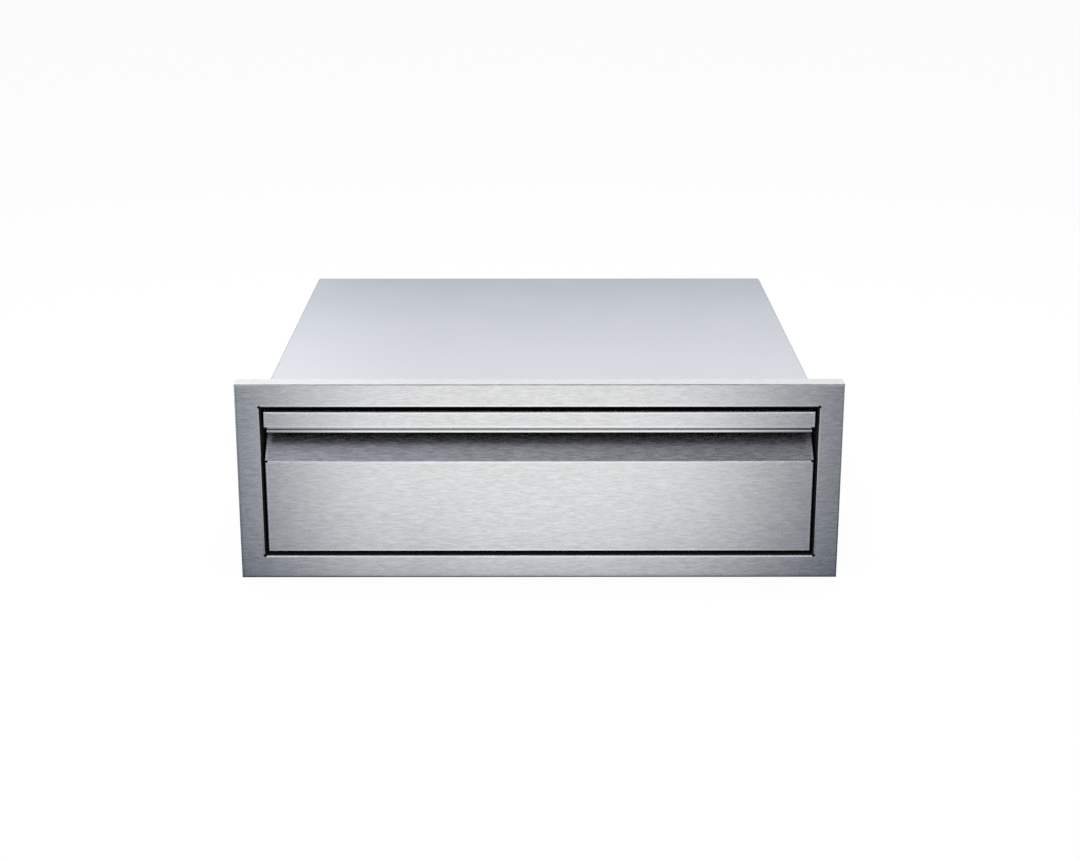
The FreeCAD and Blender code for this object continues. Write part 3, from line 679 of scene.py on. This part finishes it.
liner_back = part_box("front_liner")[1][1]
first_column = -(FRONT_SCREW_COLUMNS - 1) / 2
spots = [((i + first_column) * FRONT_SCREW_SPACING, liner_back, level)
         for i in range(FRONT_SCREW_COLUMNS) for level in FRONT_SCREW_LEVELS]
heads = group_mesh("front_screws", screw_head, spots, (0, 1, 0))
new_piece("front_screws", heads, rivet_steel, "drawer")


# Studio
# White floor and surround, soft lamps, and cards that only reflections see: on the floor for the
# front, overhead and in front for the finger slope and the folds, and behind for the roof.
FLOOR_GAP = 0.0002
CARD_GAP = 0.0001
FLOOR_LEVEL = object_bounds()[0][2] - FLOOR_GAP
FLOOR_HALF = 8
FLOOR_TONE = (0.9, 0.9, 0.9)
FLOOR_SHADE_SHARE = 0.12
SURROUND_TONE = (0.8, 0.82, 0.85)
CARD_HALF = 3
FLOOR_CARD_HALF = 3.5
CAMERA_REACH = 1.95
CAMERA_PLACE = (-0.0024, -1.9505, 0.8012)
CAMERA_PITCH = 13.96
CAMERA_TURN = -0.0945
CAMERA_LENS = 54.51
CAMERA_SHIFT = -0.18


def level_corners(half_width, front, back, level):
    return [(-half_width, front, level), (half_width, front, level),
            (half_width, back, level), (-half_width, back, level)]


def upright_corners(half_width, depth, low, high):
    return [(-half_width, depth, low), (half_width, depth, low),
            (half_width, depth, high), (-half_width, depth, high)]


def flat_plane(name, corners):
    mesh = bpy.data.meshes.new(name)
    mesh.from_pydata(corners, [], [(0, 1, 2, 3)])
    plane = bpy.data.objects.new(name, mesh)
    bpy.context.collection.objects.link(plane)
    return plane


def white_to_the_eye(tree, lit, target, share):
    """White where the camera or a reflection sees it, with a share of the lit surface left in."""
    path = tree.nodes.new("ShaderNodeLightPath")
    seen = path.outputs["Is Camera Ray"]
    for ray in ("Is Glossy Ray", "Is Transmission Ray"):
        either = tree.nodes.new("ShaderNodeMath")
        either.operation = "MAXIMUM"
        tree.links.new(seen, either.inputs[0])
        tree.links.new(path.outputs[ray], either.inputs[1])
        seen = either.outputs[0]
    amount = tree.nodes.new("ShaderNodeMath")
    amount.operation = "MULTIPLY"
    amount.inputs[1].default_value = 1 - share
    tree.links.new(seen, amount.inputs[0])
    white = tree.nodes.new("ShaderNodeEmission")
    blend = tree.nodes.new("ShaderNodeMixShader")
    tree.links.new(amount.outputs[0], blend.inputs["Fac"])
    tree.links.new(lit, blend.inputs[1])
    tree.links.new(white.outputs[0], blend.inputs[2])
    tree.links.new(blend.outputs[0], target)


floor = flat_plane("floor", level_corners(FLOOR_HALF, -FLOOR_HALF, FLOOR_HALF, FLOOR_LEVEL))
floor_paint, paint, _, _ = material_nodes("floor_paint")
paint.inputs["Base Color"].default_value = (*FLOOR_TONE, 1)
paint.inputs["Roughness"].default_value = 0.9
paint.inputs["Specular IOR Level"].default_value = 0.0
white_to_the_eye(floor_paint.node_tree, paint.outputs[0],
                 floor_paint.node_tree.nodes["Material Output"].inputs["Surface"],
                 share=FLOOR_SHADE_SHARE)
floor.data.materials.append(floor_paint)

world = bpy.data.worlds.new("surround")
bpy.context.scene.world = world
world.use_nodes = True
air = world.node_tree.nodes["Background"]
air.inputs["Color"].default_value = (*SURROUND_TONE, 1)
white_to_the_eye(world.node_tree, air.outputs[0],
                 world.node_tree.nodes["World Output"].inputs["Surface"], share=0.0)


def away_from_unit(add, join, split):
    """How far a place on the floor lies from the unit's outline."""
    low, high = cad_box
    reach = []
    for axis, name in enumerate("XY"):
        middle, half = (low[axis] + high[axis]) / 2, (high[axis] - low[axis]) / 2
        offset = calculated(add, join, "SUBTRACT", split.outputs[name], middle)
        length = calculated(add, join, "ABSOLUTE", offset)
        beyond = calculated(add, join, "SUBTRACT", length, half)
        reach.append(calculated(add, join, "MAXIMUM", beyond, 0.0))
    both = add("CombineXYZ")
    join(reach[0], both.inputs["X"])
    join(reach[1], both.inputs["Y"])
    distance = add("VectorMath", operation="LENGTH")
    join(both.outputs["Vector"], distance.inputs[0])
    return distance.outputs["Value"]


def fanned(add, join, split):
    """The place along X on a fan of lines that spread from the camera's side of the unit."""
    depth = calculated(add, join, "ABSOLUTE", split.outputs["Y"])
    wider = calculated(add, join, "MULTIPLY_ADD", depth, 1 / CAMERA_REACH, 1.0)
    return calculated(add, join, "DIVIDE", split.outputs["X"], wider)


def graded_colour(add, join, along, stops):
    """Colours that ease from stop to stop along a measure."""
    first, last = stops[0][0], stops[-1][0]
    ramp = add("ValToRGB")
    ramp.color_ramp.interpolation = "EASE"
    marks = ramp.color_ramp.elements
    while len(marks) < len(stops):
        marks.new(0.5)
    for mark, (place, tone) in zip(marks, stops):
        mark.position = (place - first) / (last - first)
        mark.color = (*tone, 1)
    join(ranged(add, join, along, first, last), ramp.inputs["Fac"])
    return ramp.outputs["Color"]


def graded_card(name, corners, *grades):
    """A card that only reflections see. Each grade is an axis and its (place, colour) stops.

    A third item of a later grade gives the two depths between which it fades out.
    """
    card = flat_plane(name, corners)
    card.visible_camera = False
    card.visible_diffuse = False
    card.visible_shadow = False
    material, _, add, join = material_nodes(name)
    glow = add("Emission")
    place = add("TexCoord")
    split = add("SeparateXYZ")
    join(place.outputs["Object"], split.inputs[0])
    measures = {"away": away_from_unit, "fan": fanned}
    shade = None
    for axis, stops, *fading in grades:
        if axis in measures:
            along = measures[axis](add, join, split)
        else:
            along = split.outputs[axis]
        colour = graded_colour(add, join, along, stops)
        if shade is None:
            shade = colour
            continue
        both = add("Mix", data_type="RGBA", blend_type="MULTIPLY")
        both.inputs["Factor"].default_value = 1.0
        for start, end in fading:
            depth = calculated(add, join, "ABSOLUTE", split.outputs["Y"])
            join(ranged(add, join, depth, start, end, 1.0, 0.0), both.inputs["Factor"])
        join(shade, both.inputs["A"])
        join(colour, both.inputs["B"])
        shade = both.outputs["Result"]
    join(shade, glow.inputs["Color"])
    join(glow.outputs[0], material.node_tree.nodes["Material Output"].inputs["Surface"])
    card.data.materials.append(material)


def grey(level, less_red=0.0, more_blue=0.0):
    return (level * (1 - less_red), level, level * (1 + more_blue))


WHITE = grey(1.0)
PALE_GREY = grey(0.80, 0.02, 0.03)
MID_GREY = grey(0.35, 0.08, 0.14)
FRONT_GREY = grey(0.40, 0.03, 0.09)

graded_card("floor_card",
            level_corners(CARD_HALF, -FLOOR_CARD_HALF, FLOOR_CARD_HALF, FLOOR_LEVEL + CARD_GAP),
            ("fan", [(-2.2, grey(0.95)), (-1.2, PALE_GREY), (-0.70, MID_GREY),
                     (-0.455, grey(0.12, 0.27, 0.45)), (-0.18, WHITE), (0.13, WHITE),
                     (0.47, grey(0.07, 0.36, 0.60)), (0.70, MID_GREY), (1.2, PALE_GREY),
                     (2.2, grey(0.95))]),
            # painted shade: the reflected floor darkens next to the unit, where its shadow falls
            ("away", [(0.0, grey(0.10)), (0.01, grey(0.63, 0.04, 0.06)),
                      (0.13, grey(0.84, 0.02, 0.03)), (0.28, grey(0.95)), (0.45, WHITE)]),
            ("fan", [(-0.38, grey(0.97)), (-0.27, grey(0.87)), (-0.15, grey(0.90)),
                     (-0.06, grey(1.03)), (0.06, grey(1.03)), (0.16, grey(0.89)),
                     (0.30, grey(0.86)), (0.38, grey(0.97))], (0.10, 0.36)))
graded_card("upper_card", level_corners(CARD_HALF, front=-2.3, back=-0.1, level=2.0),
            ("X", [(-2.5, grey(0.9)), (-0.7, grey(0.38, 0.05, 0.14)),
                   (0.0, grey(0.34, 0.05, 0.14)), (0.6, grey(0.18, 0.05, 0.15)),
                   (2.5, grey(0.9))]))
graded_card("front_card", upright_corners(CARD_HALF, depth=-3.3, low=FLOOR_LEVEL, high=0.75),
            ("X", [(-3, grey(0.9)), (-1.5, FRONT_GREY), (1.5, FRONT_GREY), (3, grey(0.9))]))
graded_card("back_card", upright_corners(CARD_HALF, depth=1.5, low=FLOOR_LEVEL, high=2.5),
            ("Z", [(0.25, grey(0.33, 0.06, 0.18)), (0.42, grey(0.69, 0.03, 0.09)),
                   (0.50, grey(0.905, 0.02, 0.05)), (0.60, grey(0.985, 0.01, 0.03)),
                   (1.6, WHITE)]),
            ("X", [(-0.62, WHITE), (-0.22, grey(0.88)), (1.0, grey(0.88)), (2.5, WHITE)]))


def soft_lamp(name, place, aim, width, height, power):
    light = bpy.data.lights.new(name, "AREA")
    light.shape = "RECTANGLE"
    light.size = width
    light.size_y = height
    light.energy = power
    lamp = bpy.data.objects.new(name, light)
    bpy.context.collection.objects.link(lamp)
    lamp.visible_glossy = False
    lamp.location = place
    lamp.rotation_euler = (Vector(aim) - Vector(place)).to_track_quat("-Z", "Y").to_euler()


soft_lamp("overhead_lamp", place=(0.0, 0.1, 2.2), aim=(0.0, 0.1, 0.0), width=2.4, height=1.4,
          power=26)
soft_lamp("front_lamp", place=(-0.5, -2.4, 1.9), aim=(0.0, 0.0, 0.0), width=1.6, height=1.2,
          power=20)

# the camera stands above and in front of the unit, a hair left of its middle
camera_data = bpy.data.cameras.new("camera")
camera_data.lens = CAMERA_LENS
camera_data.sensor_width = 36
camera_data.shift_y = CAMERA_SHIFT
camera = bpy.data.objects.new("camera", camera_data)
bpy.context.collection.objects.link(camera)
camera.location = CAMERA_PLACE
camera.rotation_euler = (math.radians(90 - CAMERA_PITCH), 0, math.radians(CAMERA_TURN))
bpy.context.scene.camera = camera
bpy.context.scene.view_settings.view_transform = "Standard"
